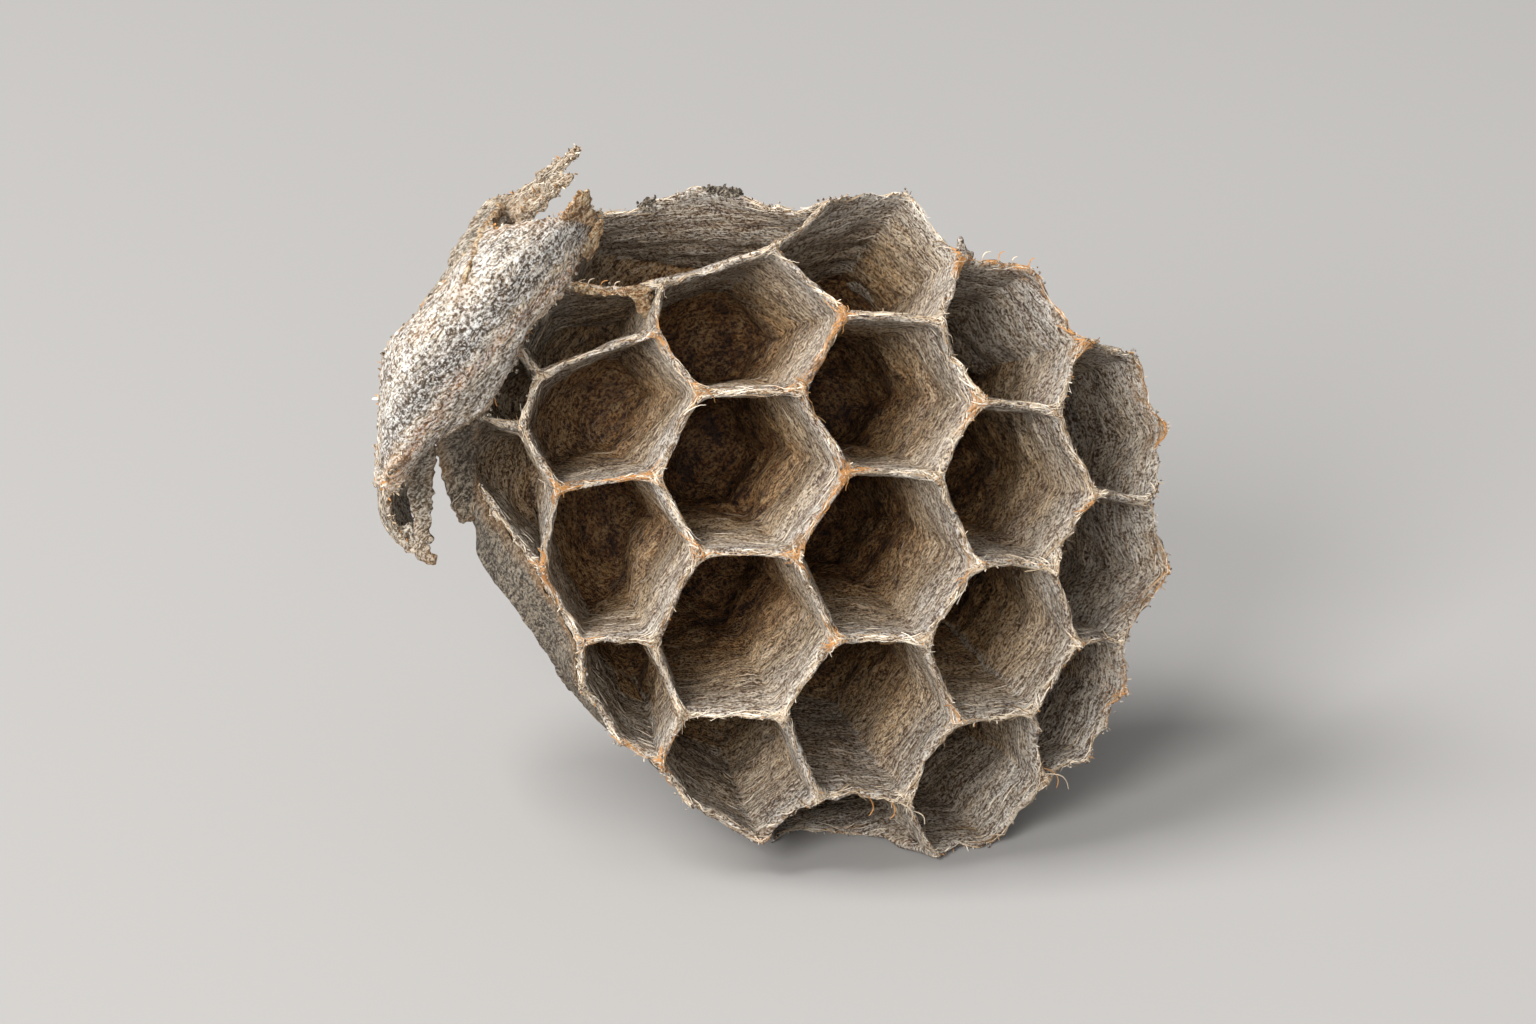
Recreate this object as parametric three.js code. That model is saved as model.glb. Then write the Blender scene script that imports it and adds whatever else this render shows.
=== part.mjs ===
// A torn paper wasp nest: a comb of open, six-sided paper cells with four torn sheets of the paper envelope
// that once covered it. It lies on its side, as picked, with the mouths of the cells at the front.
// Millimetres, +Z up, +X to the right, the front faces -Y. The origin is under the middle of the nest.
import * as THREE from "three";

// Driving dimensions
const CELL_PITCH = 7.0; // middle of one mouth to middle of the next
const PAPER = 0.42; // thickness of a cell wall
const MOUTH_DOME = 21; // radius of the dome that all the mouths lie on
const DOME_TOP = [7, -2]; // where that dome is highest, sideways and up from the middle of cell 0, 0
const FAN_DEPTH = 46; // the cells fan out from a point this far behind the top of the dome
const COMB_DEPTH = 16; // top of the dome to the bottom of the deepest cell
const BACK_CURVE = 0.005; // how fast the back draws in toward the rim, mm per square mm
const CELL_END = 1.1; // bulge of each cell's round end
const EDGE_PAPER = 0.32; // thickness of a sheet at its torn edges
const TOOTH = 0.02; // unevenness of a torn edge, as a share of the sheet
const PRESSED = 0.25; // how far the lowest paper is pressed flat
const KNOT = 0.12; // how far a corner's knot of paper stands up
const SCALLOP = 0.45; // how far the rim sags between two corners
const AXIS_UP = THREE.MathUtils.degToRad(20); // the comb lies on its cone-shaped side, so its mouths tip up
const LATTICE_ROLL = THREE.MathUtils.degToRad(9); // and its columns of cells lean a little to the right

const STALK = { cell: "1,-0.5", length: 3.8, profile: [[1.6, 1.5], [3.1, 1.1], [4.2, 1.3]] };

// The cells, column by column: [column, row, sideways, up, lowered]. Rows count in whole cells up a column,
// and odd columns sit half a cell off. Sideways and up say how far a mouth strays from the even lattice, and
// lowered how far an unfinished outer rim stays behind its neighbours, all in mm.
const CELLS = [
  [-2, 1, 1.6, -1.2, 0.6], [-2, 0, 2.0, 0.9, 1.2],
  [-1, 1.5, -0.2, -1.0, 0.4], [-1, 0.5, -0.5, -0.6, 0], [-1, -0.5, 0, -0.4, 0.2], [-1, -1.5, 0.3, 0.4, 0.7],
  [0, 2, -0.6, -0.2, 0.2], [0, 1, 0, 0.3, 0], [0, 0, -0.1, 0.3, 0], [0, -1, 0, -0.2, 0], [0, -2, 0.2, 0.3, 0.3],
  [1, 1.5, 0.5, 0.2, 0], [1, 0.5, 0.2, 0.3, 0], [1, -0.5, -0.1, 0.1, 0], [1, -1.5, 0, -0.2, 0],
  [1, -2.5, 0, 0.5, 4],
  [2, 1, 0.3, 0, 0], [2, 0, -0.1, 0, 0], [2, -1, -0.2, 0, 0], [2, -2, 0.2, 0.2, 0],
  [3, 0.5, 0.1, -0.3, 0], [3, -0.5, -0.2, -0.2, 0], [3, -1.5, -0.6, 0.5, 0.2],
];

// Corners of the mouths that lie elsewhere than midway between their three cells: [column, row, corner,
// sideways, up]. Most are at the edge of the comb, where cells were left small or never built.
const CORNER_BENDS = [
  [-2, 1, 2, 1, -3.5], [-2, 1, 3, 1.5, -2],
  [-2, 0, 2, 0, -0.5], [-2, 0, 3, 0.6, 0.9], [-2, 0, 4, 1.6, 1.2],
  [-1, 1.5, 1, -4.3, -4.2], [-1, 1.5, 2, -1.5, -4.5], [-1, 1.5, 3, -1.3, -3.2],
  [-1, 0.5, 2, -1.8, -1.4], [-1, 0.5, 3, -1.4, -1.2], [-1, 0.5, 4, -1, -0.9],
  [-1, -0.5, 3, 0.2, -1.5], [-1, -0.5, 4, 0.6, -1], [-1, -0.5, 5, 0, -0.5],
  [-1, -1.5, 3, 3, 0], [-1, -1.5, 4, 3, 0.9],
  [0, 2, 1, -0.5, -4.2], [0, 2, 2, -5.2, -3.7],
  [0, 1, 1, -0.8, 0.2], [0, 1, 2, -1.5, -1.2],
  [0, -1, 4, -0.5, -0.7], [0, -2, 3, 0.7, 0.1], [0, -2, 4, 0.5, 1.8], [0, -2, 0, 0.2, -0.8],
  [1, 1.5, 2, 0, -1.4], [1, -1.5, 5, 0.3, -0.7], [1, -2.5, 4, 0.2, 1.7], [1, -2.5, 5, -0.3, 2.3],
  [2, -2, 4, 0.7, -0.3], [3, -0.5, 5, -1, 0], [3, -1.5, 5, -1.4, 1], [3, -1.5, 0, -2.1, 0.8],
];

// Six neighbours, anticlockwise from the lower right, as seen from the front. Corner k of a cell lies
// between neighbours k and k + 1, and side k runs from corner k to corner k + 1.
const NEIGHBOURS = [[1, -0.5], [1, 0.5], [0, 1], [-1, 0.5], [-1, -0.5], [0, -1]];
const ALONG_SIDE = [0.1, 0.5, 0.9]; // the points of a side; what is left of its ends rounds the corners
const WALL_LEVELS = [0, 0.1, 0.4, 0.7, 1]; // how far down a wall its rings of points lie

const name = (column, row) => `${column},${row}`;
const cellsByName = new Map(CELLS.map(([column, row, sideways, up, lowered]) =>
  [name(column, row), { column, row, sideways, up, lowered }]));
const cornerName = (column, row, corner) => [[0, 0], NEIGHBOURS[corner], NEIGHBOURS[(corner + 1) % 6]]
  .map(([columns, rows]) => name(column + columns, row + rows)).sort().join(" ");
const bendsByCorner = new Map(CORNER_BENDS.map(([column, row, corner, sideways, up]) =>
  [cornerName(column, row, corner), new THREE.Vector2(sideways, up)]));

// Middle of a mouth, or of the place where a cell was never built, on the unrolled dome
function middle(column, row) {
  const stray = cellsByName.get(name(column, row)) ?? { sideways: 0, up: 0 };
  return new THREE.Vector2(
    column * CELL_PITCH * Math.sin(Math.PI / 3) + stray.sideways, row * CELL_PITCH + stray.up);
}

// A repeatable uneven number from -1 to 1 for a place on the comb
function uneven(a, b, c = 0) {
  const x = Math.sin(a * 12.9898 + b * 78.233 + c * 37.719) * 43758.5453;
  return 2 * (x - Math.floor(x)) - 1;
}

// A point of the comb: a place on the unrolled dome, how much of the cell's depth it lies down the cell,
// and mm more beyond that
function combPoint(place, level, beyond = 0) {
  const away = new THREE.Vector2(place.x - DOME_TOP[0], place.y - DOME_TOP[1]);
  const turn = away.length() / MOUTH_DOME;
  const sideways = away.clone().setLength(MOUTH_DOME * Math.sin(turn));
  const mouth = new THREE.Vector3(sideways.x, MOUTH_DOME * (1 - Math.cos(turn)), sideways.y);
  const toFan = new THREE.Vector3(0, FAN_DEPTH, 0).sub(mouth);
  const back = COMB_DEPTH - BACK_CURVE * away.lengthSq();
  const depth = (toFan.length() * (back - mouth.y)) / toFan.y;
  return mouth.addScaledVector(toFan.normalize(), depth * level + beyond);
}

// How much narrower the fan is at a level than at the mouth: paper keeps its thickness down the cell
const narrowing = (level) => 1 - (level * COMB_DEPTH) / FAN_DEPTH;

// Triangles over a growing list of points, each made once
class Skin {
  points = [];
  index = [];
  add(point) { return this.points.push(point) - 1; }
  tri(a, b, c) { this.index.push(a, b, c); }
  quad(a, b, c, d) { this.tri(a, b, c); this.tri(a, c, d); }
  // A band between two rows of points; closed joins the last pair to the first
  band(top, bottom, closed) {
    const last = closed ? top.length : top.length - 1;
    for (let i = 0; i < last; i += 1) {
      const next = (i + 1) % top.length;
      this.quad(top[i], top[next], bottom[next], bottom[i]);
    }
  }
  fan(ring, centre) { ring.forEach((point, i) => this.tri(point, ring[(i + 1) % ring.length], centre)); }
  geometry() {
    const geometry = new THREE.BufferGeometry();
    geometry.setAttribute("position", new THREE.Float32BufferAttribute(
      this.points.flatMap((point) => point.toArray()), 3));
    geometry.setIndex(this.index);
    geometry.computeVertexNormals();
    return geometry;
  }
}

// The torn stalk that the nest hung from, drawn out of one cell's round end; returns its last ring
function stalkOn(skin, cell, shoulder) {
  let above = shoulder;
  for (const [beyond, radius] of STALK.profile) {
    const ring = shoulder.map((_, i) => {
      const angle = (i / shoulder.length) * 2 * Math.PI - Math.PI / 12;
      const reach = radius * (1 + 0.12 * uneven(i, beyond));
      const place = cell.centre.clone().add(new THREE.Vector2(Math.cos(angle), Math.sin(angle))
        .multiplyScalar(reach / narrowing(1)));
      return skin.add(combPoint(place, 1, beyond + 0.25 * uneven(beyond, i)));
    });
    skin.band([...above].reverse(), [...ring].reverse(), true);
    above = ring;
  }
  return above;
}

// The whole comb as one closed skin: rims at the front, a pocket for each cell, round cell ends at the back
// and one outer wall around them all
function combGeometry() {
  const skin = new Skin();
  const corners = new Map();
  const outerSides = [];

  const cells = [...cellsByName.values()].map((cell) => {
    const centre = middle(cell.column, cell.row);
    const around = NEIGHBOURS.map(([columns, rows]) => {
      const [column, row] = [cell.column + columns, cell.row + rows];
      return { id: name(column, row), real: cellsByName.get(name(column, row)), at: middle(column, row) };
    });
    const cellCorners = around.map((neighbour, k) => {
      const next = around[(k + 1) % 6];
      const id = cornerName(cell.column, cell.row, k);
      if (!corners.has(id)) {
        const built = [cell, neighbour.real, next.real].filter(Boolean);
        corners.set(id, {
          place: centre.clone().add(neighbour.at).add(next.at).divideScalar(3)
            .add(bendsByCorner.get(id) ?? new THREE.Vector2()),
          lowered: Math.min(...built.map((one) => one.lowered)),
          front: [], back: [], // edges of the hole that its knot closes
        });
      }
      return corners.get(id);
    });
    return { ...cell, centre, around, corners: cellCorners, sides: [] };
  });

  // The points of one side, set in from the middle of the wall toward the cell, or out where inward is -1
  const sidePoints = (cell, k, inward, level, beyond) => {
    const [from, to] = [cell.corners[k], cell.corners[(k + 1) % 6]];
    const along = to.place.clone().sub(from.place).normalize();
    const toCell = new THREE.Vector2(-along.y, along.x);
    const inset = (inward * PAPER) / 2 / narrowing(level);
    return ALONG_SIDE.map((share) => {
      const place = from.place.clone().lerp(to.place, share).addScaledVector(toCell, inset);
      const wallMiddle = from.place.clone().lerp(to.place, share);
      const sag = SCALLOP * Math.sin(Math.PI * share) * (1 + 0.6 * uneven(wallMiddle.x, wallMiddle.y));
      const rimDrop = THREE.MathUtils.lerp(from.lowered, to.lowered, share) + sag;
      return { place, point: combPoint(place, level, beyond + rimDrop * (1 - level)) };
    });
  };
  const ringAt = (cell, level, beyond = 0) => cell.corners.flatMap((_, k) =>
    sidePoints(cell, k, 1, level, beyond).map(({ point }) => skin.add(point)));

  // Pockets and round ends
  for (const cell of cells) {
    const rings = WALL_LEVELS.map((level) => ringAt(cell, level, level === 1 ? -PAPER : 0));
    rings.slice(1).forEach((ring, i) => skin.band(rings[i], ring, true));
    skin.fan(rings.at(-1), skin.add(combPoint(cell.centre, 1, CELL_END - PAPER)));
    cell.frontRing = rings[0];
    cell.backRing = ringAt(cell, 1, 0);
    const shoulder = cell.corners.flatMap((_, k) => sidePoints(cell, k, 1, 1, 0)
      .map(({ place }) => skin.add(combPoint(place.lerp(cell.centre, 0.4), 1, CELL_END * 0.7))));
    skin.band([...cell.backRing].reverse(), [...shoulder].reverse(), true);
    const stalked = name(cell.column, cell.row) === STALK.cell;
    const end = stalked ? stalkOn(skin, cell, shoulder) : shoulder;
    const tip = skin.add(combPoint(cell.centre, 1, stalked ? STALK.length : CELL_END));
    skin.fan([...end].reverse(), tip);
  }

  // Rims at the front and creases at the back, side by side, then the outer wall
  for (const cell of cells) {
    cell.around.forEach((_, neighbourIndex) => {
      const k = (neighbourIndex + 5) % 6; // side k faces neighbour k + 1
      const neighbour = cell.around[neighbourIndex];
      const [from, to] = [cell.corners[k], cell.corners[(k + 1) % 6]];
      for (const [where, ring] of [["front", cell.frontRing], ["back", cell.backRing]]) {
        const mine = [0, 1, 2].map((i) => ring[3 * k + i]);
        from[where].push([mine[0], ring[(3 * k + 17) % 18]]);
        let theirs;
        if (neighbour.real) {
          if (neighbour.id < name(cell.column, cell.row)) continue; // the other cell lays this rim
          const other = cells.find((one) => name(one.column, one.row) === neighbour.id);
          const otherRing = where === "front" ? other.frontRing : other.backRing;
          const otherSide = (k + 3) % 6;
          theirs = [2, 1, 0].map((i) => otherRing[3 * otherSide + i]);
        } else {
          theirs = sidePoints(cell, k, -1, where === "front" ? 0 : 1, 0).map(({ point }) => skin.add(point));
          cell.sides[k] = { ...cell.sides[k], [where]: theirs };
        }
        from[where].push([theirs[0], mine[0]]);
        to[where].push([mine[2], theirs[2]]);
        if (where === "front") skin.band(theirs, mine, false);
        else skin.band(mine, theirs, false);
      }
      if (!neighbour.real) outerSides.push({ cell, k, from, to, ...cell.sides[k] });
    });
  }

  // The outer wall: each outer side goes down in rings, and short pieces join it to the next one round
  const wallOf = (side) => WALL_LEVELS.map((level, i) => {
    if (i === 0) return side.front;
    if (i === WALL_LEVELS.length - 1) return side.back;
    return sidePoints(side.cell, side.k, -1, level, 0).map(({ point }) => skin.add(point));
  });
  const walls = outerSides.map((side) => ({ ...side, rows: wallOf(side) }));
  for (const wall of walls) {
    const next = walls.find((other) => other.from === wall.to);
    wall.to.front.push([wall.front[2], next.front[0]]);
    wall.to.back.push([wall.back[2], next.back[0]]);
    wall.rows.slice(1).forEach((row, i) => {
      const above = wall.rows[i];
      skin.band([...above].reverse(), [...row].reverse(), false);
      skin.quad(next.rows[i][0], above[2], row[2], next.rows[i + 1][0]);
    });
  }

  // A small knot of paper closes each corner, at the front and at the back
  for (const corner of corners.values()) {
    const frontKnot = skin.add(combPoint(corner.place, 0, corner.lowered - KNOT));
    const backKnot = skin.add(combPoint(corner.place, 1));
    corner.front.forEach(([a, b]) => skin.tri(a, b, frontKnot));
    corner.back.forEach(([a, b]) => skin.tri(b, a, backKnot));
  }
  return skin.geometry();
}

// A torn sheet of envelope paper around a middle surface that runs smoothly through rows of points. Torn
// lists how much of the sheet is missing at its start, end, left and right, along each of those edges.
function sheetGeometry({ rows, across, along, torn }) {
  const rowCurves = rows.map((row) => new THREE.CatmullRomCurve3(
    row.map((point) => new THREE.Vector3(...point)), false, "centripetal"));
  const surface = (u, v) => new THREE.CatmullRomCurve3(
    rowCurves.map((curve) => curve.getPoint(u)), false, "centripetal").getPoint(v);
  const missing = (edge, share, seed) => {
    const list = torn[edge];
    const at = share * (list.length - 1);
    const before = Math.min(Math.floor(at), list.length - 2);
    const even = THREE.MathUtils.lerp(list[before], list[before + 1], at - before);
    return Math.max(0, even + TOOTH * uneven(Math.round(share * 40), seed));
  };
  const skin = new Skin();
  const faces = { front: [], back: [] };
  for (let j = 0; j <= along; j += 1) {
    faces.front.push([]);
    faces.back.push([]);
    for (let i = 0; i <= across; i += 1) {
      const [u, v] = [i / across, j / along];
      const place = [
        THREE.MathUtils.lerp(missing("left", v, 1), 1 - missing("right", v, 2), u),
        THREE.MathUtils.lerp(missing("start", u, 3), 1 - missing("end", u, 4), v)];
      const middlePoint = surface(...place);
      const step = 0.01;
      const alongU = surface(Math.min(place[0] + step, 1), place[1])
        .sub(surface(Math.max(place[0] - step, 0), place[1]));
      const alongV = surface(place[0], Math.min(place[1] + step, 1))
        .sub(surface(place[0], Math.max(place[1] - step, 0)));
      const normal = alongU.cross(alongV).normalize();
      const edge = i === 0 || j === 0 || i === across || j === along;
      const half = (edge ? EDGE_PAPER : PAPER) / 2;
      faces.front[j].push(skin.add(middlePoint.clone().addScaledVector(normal, half)));
      faces.back[j].push(skin.add(middlePoint.clone().addScaledVector(normal, -half)));
    }
  }
  faces.front.slice(1).forEach((row, j) => skin.band(faces.front[j], row, false));
  faces.back.slice(1).forEach((row, j) => skin.band(row, faces.back[j], false));
  const rim = (face) => [
    ...face[0], ...face.slice(1, -1).map((row) => row.at(-1)),
    ...[...face.at(-1)].reverse(), ...face.slice(1, -1).map((row) => row[0]).reverse()];
  skin.band(rim(faces.back), rim(faces.front), true);
  return skin.geometry();
}

// The sheets' points are in the nest's own frame, whose origin is the top of the dome of mouths
const SHEETS = {
  // The broad panel over the upper left cells: from its spiky torn top down to the tail at its lower left
  envelope_front_sheet: {
    rows: [
      [[-10.5, 10.5, 12], [-12.5, 9.5, 13], [-14, 9.5, 13], [-15, 11, 12]],
      [[-11.5, 9.5, 11], [-13.5, 8, 12], [-15.5, 8.5, 12], [-16.5, 10, 11]],
      [[-12.5, 8.5, 9.5], [-15, 7, 10.5], [-17, 7, 11], [-18, 9, 10]],
      [[-14, 8, 8], [-16.5, 6.5, 9.5], [-18.5, 7, 9.5], [-19.5, 9, 8.5]],
      [[-15, 8.5, 6], [-17.5, 6.5, 7.5], [-20, 7, 8], [-20.5, 9.5, 7]],
      [[-16.5, 8.5, 4], [-19, 7, 5.5], [-20.5, 7.5, 5.5], [-20.5, 10.5, 4]],
      [[-18.5, 9, 3], [-20, 8, 3], [-20.5, 9, 2.5], [-20.5, 11, 2]],
      [[-20, 10, 0.5], [-20.5, 10, 0.5], [-20.5, 10.5, 0.5], [-20.5, 11.5, 0]],
    ],
    across: 8, along: 18,
    torn: { start: [0, 0.06, 0.12, 0.1, 0.04], end: [0, 0], left: [0, 0.04, 0], right: [0, 0] },
  },
  // The side of the envelope, from the panel's left edge round toward the back
  envelope_side_sheet: {
    rows: [
      [[-15, 11.8, 10], [-15, 14, 10], [-13.5, 17, 9]],
      [[-16.6, 11, 8.8], [-16.4, 14.5, 8.2], [-14.5, 18.5, 6.5]],
      [[-18, 10.8, 7], [-17.4, 15, 6.5], [-15.5, 20, 4.5]],
      [[-19, 11.6, 5], [-18.4, 15.5, 3.7], [-15.8, 20.5, 1]],
      [[-19.3, 12, 2.2], [-18.8, 16, 1.1], [-15.8, 21, -1.5]],
      [[-19.5, 12.6, 0], [-19, 16, -1.5], [-16, 21, -3.5]],
      [[-19.5, 12.5, -2], [-19, 15.5, -3], [-16.5, 19.5, -5]],
      [[-18, 11.5, -3.5], [-18.5, 14, -4], [-17, 18, -5.5]],
    ],
    across: 6, along: 14,
    torn: {
      start: [0.02, 0.06, 0], end: [0, 0.1, 0.02], left: [0, 0, 0.03], right: [0.03, 0.1, 0.02, 0.12, 0],
    },
  },
  // What is left of the envelope along the comb's lower left side, down to the surface it lies on
  envelope_lower_sheet: {
    rows: [
      [[-17.7, 11.1, 0.9], [-17.7, 12.1, 0.5], [-17.3, 13.2, 0], [-16.2, 14.3, -0.7]],
      [[-16.8, 9, -0.4], [-17.3, 10.2, -0.8], [-16.6, 12, -1.6], [-15, 13.9, -2.5]],
      [[-15.4, 6.5, -2.6], [-16.1, 8.1, -3.2], [-15.4, 10.6, -4.1], [-13.3, 13.3, -5.1]],
      [[-14.2, 5, -5.5], [-14.3, 6.8, -6.2], [-13.5, 9.5, -6.9], [-12, 12.5, -7.6]],
      [[-14, 5.2, -7.9], [-13.5, 6.9, -8.3], [-12.7, 9.2, -8.8], [-11.7, 11.8, -9.3]],
      [[-11.9, 6.2, -10.7], [-11.4, 8, -11], [-10.9, 9.7, -11.3], [-10.3, 11.5, -11.5]],
      [[-9.1, 5.8, -13.3], [-8.7, 7.7, -13.6], [-8.3, 9.5, -13.8], [-7.7, 11.5, -13.9]],
      [[-6.8, 6.2, -15.2], [-6.5, 8.2, -15.7], [-5.9, 10.6, -15.8], [-4.8, 12.8, -15.6]],
      [[-5.3, 9.6, -15.9], [-4.6, 11.2, -16], [-3.6, 12.7, -16], [-2, 14.2, -15.9]],
    ],
    across: 6, along: 16,
    torn: {
      start: [0.02, 0.05, 0], end: [0, 0.02, 0], left: [0, 0.02, 0, 0.02, 0], right: [0, 0.1, 0, 0.12, 0.02],
    },
  },
  // The strip behind the panel that sticks up to two torn points
  envelope_top_sheet: {
    rows: [
      [[-10.5, 13.5, 14], [-11, 12.7, 13.6], [-11, 12.2, 13.2]],
      [[-11.5, 14, 13], [-12, 12.8, 12.8], [-12, 12, 12.4]],
      [[-13, 14, 12], [-13.3, 12.9, 11.8], [-13, 12, 11.4]],
      [[-14.5, 14.5, 11.5], [-14.4, 13.2, 11], [-13.8, 12.4, 10.4]],
      [[-15, 14, 10.9], [-15.2, 13, 10.6], [-14.8, 12.6, 10.2]],
    ],
    across: 6, along: 8,
    torn: { start: [0, 0.02, 0.22, 0.12, 0.02], end: [0, 0.05], left: [0, 0], right: [0, 0.06, 0.02, 0] },
  },
};

const paperMaterial = (color) => new THREE.MeshStandardMaterial({ color, roughness: 0.95, metalness: 0 });

const nest = new THREE.Group();

// The comb is made with its axis along -Y; it leans back and rolls as it lies
const lie = new THREE.Matrix4().makeRotationFromEuler(new THREE.Euler(-AXIS_UP, LATTICE_ROLL, 0));
const geometries = { comb: combGeometry().applyMatrix4(lie) };
for (const [sheetName, shape] of Object.entries(SHEETS)) geometries[sheetName] = sheetGeometry(shape);

// The nest's own weight presses its lowest paper flat where it lies
const lowest = Math.min(...Object.values(geometries).map((geometry) => {
  geometry.computeBoundingBox();
  return geometry.boundingBox.min.z;
}));
for (const [partName, geometry] of Object.entries(geometries)) {
  const position = geometry.getAttribute("position");
  for (let i = 0; i < position.count; i += 1) position.setZ(i, Math.max(position.getZ(i), lowest + PRESSED));
  geometry.computeVertexNormals();
  const piece = new THREE.Mesh(geometry, paperMaterial(partName === "comb" ? 0xa39a8b : 0xbdb5a8));
  piece.name = partName;
  nest.add(piece);
}

nest.updateMatrixWorld(true);
const box = new THREE.Box3().setFromObject(nest, true);
nest.position.set(-(box.min.x + box.max.x) / 2, -(box.min.y + box.max.y) / 2, -box.min.z);
nest.updateMatrixWorld(true);

export default nest;
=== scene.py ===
# A torn paper wasp nest. The comb and the four torn sheets of its envelope come from the frame, and become
# rough paper here: crisp folds, ragged rims, layers of pulp, fibres, torn scraps, crumbs and loose ends.
import math
import random

import bmesh
import bpy
import numpy as np
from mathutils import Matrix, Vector, noise
from mathutils.bvhtree import BVHTree
from mathutils.kdtree import KDTree


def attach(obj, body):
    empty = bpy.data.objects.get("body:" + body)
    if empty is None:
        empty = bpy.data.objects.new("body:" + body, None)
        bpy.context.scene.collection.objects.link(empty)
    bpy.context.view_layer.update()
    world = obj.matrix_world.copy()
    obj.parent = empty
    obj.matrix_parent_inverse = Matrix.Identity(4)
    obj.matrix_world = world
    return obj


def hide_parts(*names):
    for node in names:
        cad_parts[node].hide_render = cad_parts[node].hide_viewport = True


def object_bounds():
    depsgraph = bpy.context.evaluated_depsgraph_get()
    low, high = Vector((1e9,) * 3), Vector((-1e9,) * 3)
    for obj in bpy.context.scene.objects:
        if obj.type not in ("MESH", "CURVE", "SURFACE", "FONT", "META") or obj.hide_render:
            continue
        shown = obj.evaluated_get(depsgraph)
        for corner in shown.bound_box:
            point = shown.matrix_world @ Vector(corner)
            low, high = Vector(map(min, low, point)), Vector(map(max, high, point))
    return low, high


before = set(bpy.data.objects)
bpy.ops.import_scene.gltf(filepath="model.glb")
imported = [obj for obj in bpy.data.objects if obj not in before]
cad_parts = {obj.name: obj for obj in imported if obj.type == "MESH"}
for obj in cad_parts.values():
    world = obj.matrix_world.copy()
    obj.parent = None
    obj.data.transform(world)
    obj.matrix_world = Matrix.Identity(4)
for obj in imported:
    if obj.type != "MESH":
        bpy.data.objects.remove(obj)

cad_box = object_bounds()
MM = 0.001

# Without this, the drift of the walls would differ from run to run
noise.seed_set(5)

# The dome that all the mouths lie on, the point that the cells narrow towards, and how far the mouths are
# from that point in mm
DOME_MIDDLE = Vector((3.232, 10.001, 8.827)) * MM
DOME_RADIUS = 21.0 * MM
CELLS_MEET = Vector((3.23, 33.49, 0.28)) * MM
MOUTHS_AWAY = 44

# The stripes of the envelope: which way they run, and a direction across them
ALONG_STRIPES = Vector((-0.637, -0.030, -0.770))
ACROSS_STRIPES = Vector((0.610, -0.534, -0.596))

# The top rims of two upper cells bow up between their corners: the corners, and how far the rim rises in mm
BOWED_RIMS = [
    (Vector((-5.87, 4.37, 26.71)) * MM, Vector((0.33, 0.97, 27.36)) * MM, 0.9),
    (Vector((0.56, -1.19, 26.40)) * MM, Vector((6.66, 0.42, 27.20)) * MM, 0.9),
]

# Up the face of the comb, as the rims bow, and to the right across it
FACE_UP = Vector((0.126, 0.336, 0.934))
FACE_RIGHT = Vector((0.937, -0.350, 0.0))

# Where the wasps patched the comb with ochre pulp: x, y, z and how far a patch reaches, in mm
OCHRE_PATCHES = [
    (0.7, -5.0, 23.3, 1.3), (-0.6, -5.5, 22.4, 1.4), (0.1, -8.7, 17.9, 1.4), (-1.3, -9.0, 16.6, 1.4),
    (-5.0, -4.6, 21.4, 0.7), (7.3, -2.5, 25.2, 1.1), (6.8, -7.2, 20.3, 0.9), (8.2, -2.5, 24.9, 1.1),
    (10.1, -1.8, 24.8, 1.3), (11.9, -1.4, 24.1, 1.1), (13.0, -4.0, 21.0, 1.1), (12.4, -3.1, 22.4, 1.0),
    (-10.5, -3.4, 17.3, 1.1), (-8.7, -4.8, 17.8, 1.0), (-7.6, -5.4, 18.1, 0.8), (-10.5, -5.8, 10.3, 1.1),
    (-9.9, -6.4, 7.9, 1.3), (-8.6, -7.2, 6.4, 1.3), (-7.6, -7.7, 5.7, 0.9), (-1.8, -9.2, 15.6, 0.8),
    (5.3, -10.2, 14.1, 0.8), (11.7, -8.0, 15.6, 0.7), (16.8, -3.1, 18.2, 1.8), (17.2, -3.6, 16.7, 1.7),
    (15.5, -7.0, 9.9, 1.9), (15.9, -6.5, 11.5, 1.7), (13.4, -8.2, 6.4, 1.9), (-11.5, -4.1, 13.7, 1.3),
    (-12.8, -1.8, 15.5, 1.3), (-13.1, -0.1, 17.3, 1.2), (-5.8, 3.4, 24.6, 1.6), (-7.3, 3.0, 24.5, 1.6),
    (-5.7, -2.6, 23.1, 0.9), (-0.7, -10.5, 11.6, 0.7), (-2.5, -9.8, 4.6, 1.1), (-3.4, -8.9, 2.6, 1.1),
    (4.4, -10.9, 7.7, 0.8), (-6.1, -7.6, 15.5, 0.8), (0.7, -8.5, 18.4, 1.0), (1.9, -4.6, 23.8, 0.9),
]

# What each sheet of the frame becomes: its new name, its paper and the seed of its unevenness
SHEETS = {
    "envelope_front_sheet": ("torn_front_sheet", "striped", 11),
    "envelope_side_sheet": ("torn_side_sheet", "brown", 12),
    "envelope_lower_sheet": ("torn_lower_sheet", "weathered", 13),
    "envelope_top_sheet": ("torn_top_sheet", "brown", 14),
}

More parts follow.
